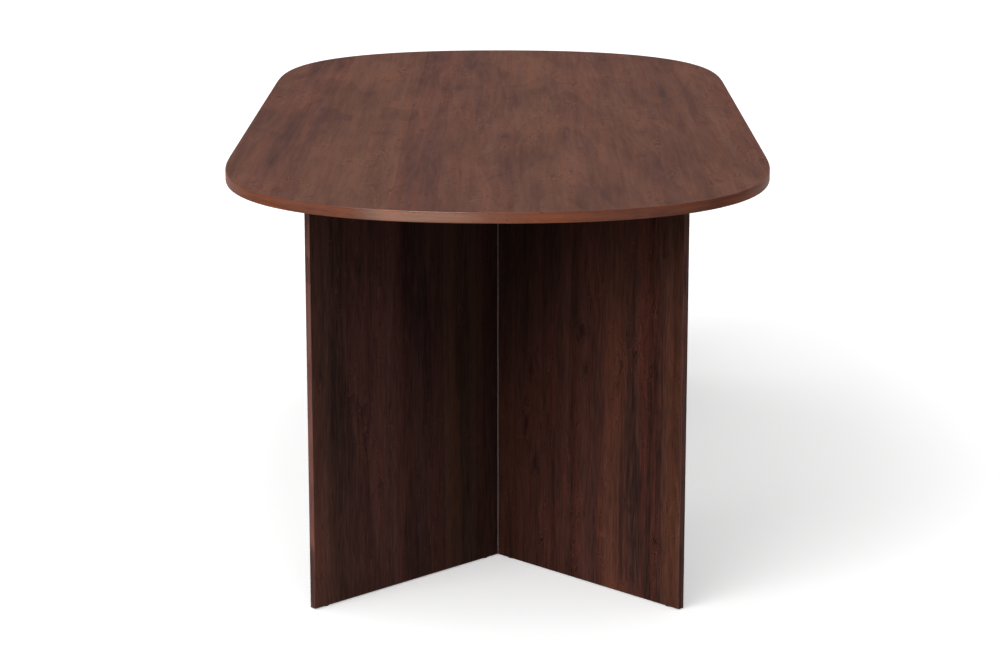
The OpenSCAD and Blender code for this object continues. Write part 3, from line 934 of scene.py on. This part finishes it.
LEG_BAND_LOOK = {
    **BAND_LOOK,
    "figure": {**BAND_LOOK["figure"], "ring": (0.05, 0.45), "patch": (0.03, 0.09)},
    "dark_lengths": ((-0.1, 0.115), (0.598, 0.645)),
    # Painted shade and light across the leg bands: the bands at the arms' tips are printed darker, and the
    # band in the V's corner lighter
    "painted_shading_across": (0.20, 0.30, 1.12, 0.68),
    "middle": 0.75, "rings": 0.4, "patches": 0.7, "rough": 0.65, "gloss": 0.06,
    "skin": {"rough": 0.40, "ior": 1.1, "edge": 0.0},
}
LEG_LOOK = {
    "figure": {
        "streak": (0.042, 1.6), "ring": (0.16, 3.0), "vein": (0.018, 0.50), "line": (0.0035, 0.045),
        "patch": (0.07, 0.30), "curl": (0.022, 0.07), "board_width": 0.065, "waver": 0.004,
    },
    "ticks": {"spacing_across": 0.024, "spacing_along": 0.090, "size": 0.07, "share": 0.2},
    "scattered": {
        "spacing_across": 0.16, "spacing_along": 0.34, "radius": 0.006, "share": 0.3, "deepest": 0.5,
    },
    "middle": 0.50, "streaks": 0.75, "rings": 0.20, "boards": 0.26, "lines": 0.36, "patches": 0.35,
    "curls": 0.26, "veins": 0.60, "tick_depth": 0.5,
    "hues": 0.014, "tints": 0.09, "warmth": 0.35, "rough": 0.7, "gloss": 0.03,
}


def knots(*places):
    """Knots from (across, along, radius, stretch, depth)"""
    return [dict(zip(("across", "along", "radius", "stretch", "depth"), place)) for place in places]


# The front V's left panel runs through the corner and reads the print further up; the right one butts on it
LEFT_LIFT = 3.37
LEFT_LOOK = {
    **LEG_LOOK,
    "figure": {**LEG_LOOK["figure"], "streak": (0.065, 1.6), "board_width": 0.085},
    "knots": knots(
        (0.300, LEFT_LIFT + 0.200, 0.006, 1.5, 0.5),
        (0.440, LEFT_LIFT + 0.430, 0.006, 2.5, 0.5),
    ),
    # Painted shade across the panel, darkest in the V's corner
    "painted_shading_across": (0.02, 0.34, 0.455, 1.09),
    # Painted light up the panel: lighter towards the floor, away from the shade under the top
    "foot": (LEFT_LIFT + 0.05, LEFT_LIFT + 0.42, 1.14, 1.0),
    "streaks": 0.88, "rings": 0.14, "boards": 0.50, "lines": 0.50, "veins": 0.50, "richness": 0.95,
}
RIGHT_LOOK = {
    **LEG_LOOK,
    "knots": knots(
        (0.215, 0.475, 0.008, 1.6, 0.9),
        (0.228, 0.405, 0.006, 2.6, 0.8),
        (0.090, 0.380, 0.008, 1.8, 0.6),
        (0.075, 0.275, 0.007, 3.2, 0.9),
        (0.098, 0.200, 0.008, 1.6, 0.9),
        (0.415, 0.640, 0.006, 1.2, 0.6),
        (0.400, 0.115, 0.006, 1.2, 0.7),
    ),
    # Painted shade across the panel, darkest in the V's corner. It is also darker over all than on the left
    # panel, to hold down the main light that falls full on this one
    "painted_shading_across": (0.02, 0.34, 0.40, 0.85),
    # Painted light up the panel: lighter towards the floor, away from the shade under the top
    "foot": (0.05, 0.42, 1.28, 1.0),
    "streaks": 0.58, "boards": 0.20, "lines": 0.66, "curls": 0.42, "hues": 0.006, "richness": 1.07,
}


# Operators


class DressTableTop(bpy.types.Operator):
    """Build the smooth board and its edge band in place of the faceted ones"""

    bl_idname = "dining_table.dress_top"
    bl_label = "Dress the Top"

    def execute(self, context):
        sizes, tones = context.scene.table_top, context.scene.table_wood
        board, band = build_top_board(sizes), build_top_band(sizes)
        face = laminate("Top laminate", board_place, tones.top_light, tones.top_dark, TOP_LOOK)
        edge = laminate("Top band", edge_place, tones.top_band_light, tones.top_band_dark, BAND_LOOK)
        for piece, material, node, slot in (
            (board, face, "tabletop_core", "top_laminate"),
            (band, edge, "tabletop_edge_band", "top_band"),
        ):
            give(piece, material)
            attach(piece, "root")
            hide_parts(node)
        return {"FINISHED"}


class FinishLegPanels(bpy.types.Operator):
    """Give the leg panels their upright wood figure and the bands their finish, both with painted shade and
    light, and the sealing strips a light tone painted as a highlight line
    """

    bl_idname = "dining_table.finish_legs"
    bl_label = "Finish the Legs"

    def execute(self, context):
        tones, sizes = context.scene.table_wood, context.scene.table_screws
        turn = math.radians(45)
        finishes = {}
        for kind, place_on, look in (
            ("through_panel", partial(upright_place, sizes=sizes, turn=-turn, lift=LEFT_LIFT), LEFT_LOOK),
            ("butt_panel", partial(upright_place, sizes=sizes, turn=turn), RIGHT_LOOK),
        ):
            name = "Leg laminate " + kind.replace("_", " ")
            finishes[kind] = laminate(
                name, place_on, tones.leg_light, tones.leg_dark, look, raw_edge=tones.chipboard
            )
        band_place = partial(upright_place, sizes=sizes, turn=turn)
        band = laminate("Leg band", band_place, tones.leg_band_light, tones.leg_band_dark, LEG_BAND_LOOK)
        finishes["outer_bands"] = finishes["corner_band"] = band
        # Painted highlight: the sealing strip's light tone draws the thin light line down the V's corner
        # seam
        finishes["seal_strip"] = moulded("Sealing strip painted highlight", (0.36, 0.29, 0.27), rough=0.6)
        give_both_legs(finishes)
        return {"FINISHED"}


class BuildBracketScrews(bpy.types.Operator):
    """Build the bracket screws with cross recesses in place of the plain ones"""

    bl_idname = "dining_table.build_screws"
    bl_label = "Build the Screws"

    def execute(self, context):
        zinc = metal("Zinc steel", (0.66, 0.67, 0.68), rough=0.30, spread=0.06, cloud_size=0.004)
        for leg in LEGS:
            for kind in ("top", "panel"):
                screws = build_screws(context.scene.table_screws, leg, kind)
                give(screws, zinc)
                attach(screws, "root")
                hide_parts(f"{leg}_{kind}_screws")
        give_both_legs({"cam_bolts": zinc})
        return {"FINISHED"}


class FinishFittings(bpy.types.Operator):
    """Give the brackets, cam locks, caps, dowels and glides their finish"""

    bl_idname = "dining_table.finish_fittings"
    bl_label = "Finish the Fittings"

    def execute(self, context):
        give_both_legs({
            "brackets": metal(
                "Bracket steel", (0.56, 0.56, 0.57), rough=0.38, spread=0.08, cloud_size=0.012
            ),
            "cam_locks": metal("Cam metal", (0.58, 0.58, 0.60), rough=0.45, spread=0.05, cloud_size=0.004),
            "cam_caps": moulded("Cap plastic", (0.075, 0.034, 0.026), rough=0.42),
            "floor_glides": moulded("Glide plastic", (0.028, 0.027, 0.027), rough=0.5),
            "dowels": moulded("Dowel wood", (0.60, 0.42, 0.24), rough=0.6),
        })
        return {"FINISHED"}


def give_both_legs(finishes):
    """Gives each material to the pieces of its kind on the front and the rear V"""
    for leg in LEGS:
        for kind, material in finishes.items():
            give(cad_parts[f"{leg}_{kind}"], material)


# The lamps' bearing anticlockwise from the table's right, height above the floor and spread, in degrees
LAMP_ANGLES = {"overhead": (0, 90, 120), "side": (180, 30, 90), "front": (270, 45, 30)}

# The strip lights' places and sizes in metres, and their colour
STRIP_PLACE, STRIP_SIZE = (-1.10, -3.34, 0.29), (2.05, 0.50)
HIGH_STRIP_PLACE, HIGH_STRIP_SIZE = (-0.65, -1.60, 2.26), (1.10, 0.70)
STRIP_COLOUR = (1.0, 0.86, 0.70)

WHITE = (1.0, 1.0, 1.0, 1.0)
FLOOR_REACH = 60.0
FILM_WIDTH = 36.0
FARTHEST_SEEN = 200.0


class SetTableStage(bpy.types.Operator):
    """Set up the white floor, the soft light and the camera"""

    bl_idname = "dining_table.set_stage"
    bl_label = "Set the Stage"

    def execute(self, context):
        settings = context.scene.table_stage
        self.lay_floor(settings)
        self.light(context.scene, settings)
        self.place_camera(context.scene, settings)
        context.scene.view_settings.view_transform = "Standard"
        return {"FINISHED"}

    def lay_floor(self, settings):
        """A wide plane whose light on the table is that of a white floor, and which shows soft shadows"""
        points = np.array([[-1, -1, 0], [1, -1, 0], [1, 1, 0], [-1, 1, 0]]) * FLOOR_REACH
        floor = mesh_piece("studio_floor", points, [[0, 1, 2, 3]])
        material = bpy.data.materials.new("Studio floor")
        material.use_nodes = True
        tree = material.node_tree
        tree.nodes.clear()
        seen = self.seen_directly(tree)
        bounce, matt = (
            put(tree, "ShaderNodeBsdfDiffuse", {"Color": (level, level, level, 1.0)})
            for level in (settings.floor_bounce, settings.floor_shade)
        )
        lift = put(tree, "ShaderNodeEmission", {"Strength": settings.floor_lift})
        shown = put(tree, "ShaderNodeAddShader", {0: matt.outputs[0], 1: lift.outputs[0]})
        mixed = put(tree, "ShaderNodeMixShader", {0: seen, 1: bounce.outputs[0], 2: shown.outputs[0]})
        put(tree, "ShaderNodeOutputMaterial", {0: mixed.outputs[0]})
        give(floor, material)

    def seen_directly(self, tree):
        """One for rays from the camera, and for what shiny and clear things show"""
        path = put(tree, "ShaderNodeLightPath").outputs
        both = reckon(tree, "ADD", path["Is Camera Ray"], path["Is Glossy Ray"])
        return reckon(tree, "ADD", both, path["Is Transmission Ray"], clamp=True)

    def light(self, scene, settings):
        """Even light from all round, four wide soft lamps, and two strip lights for the shine"""
        world = bpy.data.worlds.new("Studio light")
        scene.world = world
        world.use_nodes = True
        tree = world.node_tree
        tree.nodes.clear()
        seen = self.seen_directly(tree)
        strength = reckon(tree, "MULTIPLY_ADD", seen, 1.0 - settings.sky, settings.sky)
        sky = put(tree, "ShaderNodeBackground", {"Color": WHITE, "Strength": strength})
        put(tree, "ShaderNodeOutputWorld", {0: sky.outputs[0]})
        key_angles = (settings.key_bearing, settings.key_height, settings.key_spread)
        self.add_lamp(scene, "Key light", settings.key, *key_angles)
        for name, angles in LAMP_ANGLES.items():
            share = getattr(settings, name)
            self.add_lamp(scene, f"{name.title()} light", share, *map(math.radians, angles))
        self.add_strip(scene, "Strip light", settings.strip, STRIP_PLACE, STRIP_SIZE)
        self.add_strip(
            scene, "High strip light", settings.high_strip, HIGH_STRIP_PLACE, HIGH_STRIP_SIZE
        )

    def add_lamp(self, scene, name, share, bearing, height, spread):
        """A distant soft lamp; a share of 1 shows a white floor as white"""
        lamp = bpy.data.lights.new(name, "SUN")
        lamp.energy = share * math.pi / math.sin(height)
        lamp.angle = spread
        light = bpy.data.objects.new(name, lamp)
        light.rotation_euler = (math.pi / 2 - height, 0.0, bearing + math.pi / 2)
        scene.collection.objects.link(light)

    def add_strip(self, scene, name, brightness, place, size):
        """A strip light that only shiny faces show, aimed at the front of the top's edge

        The low one makes the soft highlight on the band, and the high one the line on its upper arris.
        """
        lamp = bpy.data.lights.new(name, "AREA")
        lamp.shape = "RECTANGLE"
        lamp.size, lamp.size_y = size
        lamp.color = STRIP_COLOUR
        lamp.energy = brightness * math.pi * lamp.size * lamp.size_y
        light = bpy.data.objects.new(name, lamp)
        aim = Vector((0.0, TOP_LOW.y, UNDER_TOP)) - Vector(place)
        light.location = place
        light.rotation_euler = aim.to_track_quat("-Z", "Y").to_euler()
        light.visible_camera = False
        light.visible_diffuse = False
        scene.collection.objects.link(light)

    def place_camera(self, scene, settings):
        """The photograph's view: from the end, a little above the top, along the table and down"""
        data = bpy.data.cameras.new("Camera")
        data.lens = settings.camera_lens
        data.sensor_width = FILM_WIDTH
        data.clip_end = FARTHEST_SEEN
        camera = bpy.data.objects.new("Camera", data)
        camera.location = settings.camera_place
        camera.rotation_euler = (math.pi / 2 - settings.camera_pitch, 0.0, settings.camera_heading)
        scene.collection.objects.link(camera)
        scene.camera = camera


class TablePanel(bpy.types.Panel):
    """Lists the table's steps and settings in the sidebar"""

    bl_idname = "VIEW3D_PT_dining_table"
    bl_label = "Oval Dining Table"
    bl_space_type = "VIEW_3D"
    bl_region_type = "UI"
    bl_category = "Table"

    def draw(self, context):
        for operator in OPERATORS:
            self.layout.operator(operator.bl_idname)
        for holder in SETTINGS:
            box = self.layout.box()
            for name in getattr(context.scene, holder).bl_rna.properties.keys():
                if name not in ("rna_type", "name"):
                    box.prop(getattr(context.scene, holder), name)


OPERATORS = (DressTableTop, FinishLegPanels, BuildBracketScrews, FinishFittings, SetTableStage)
SETTINGS = {
    "table_top": TableTopSizes,
    "table_screws": ScrewSizes,
    "table_wood": WoodTones,
    "table_stage": StageSettings,
}


def register():
    """Registers the settings, the operators and the panel"""
    for name, group in SETTINGS.items():
        bpy.utils.register_class(group)
        setattr(bpy.types.Scene, name, bpy.props.PointerProperty(type=group))
    for kind in (*OPERATORS, TablePanel):
        bpy.utils.register_class(kind)


def unregister():
    """Takes away what register added"""
    for kind in (TablePanel, *reversed(OPERATORS)):
        bpy.utils.unregister_class(kind)
    for name, group in SETTINGS.items():
        delattr(bpy.types.Scene, name)
        bpy.utils.unregister_class(group)


def main():
    """Builds everything in order"""
    register()
    for make in (make_figure_group, make_knot_group, make_tick_group, make_mottle_group):
        make()
    bpy.ops.dining_table.dress_top()
    bpy.ops.dining_table.finish_legs()
    bpy.ops.dining_table.build_screws()
    bpy.ops.dining_table.finish_fittings()
    bpy.ops.dining_table.set_stage()


if __name__ == "__main__":
    main()
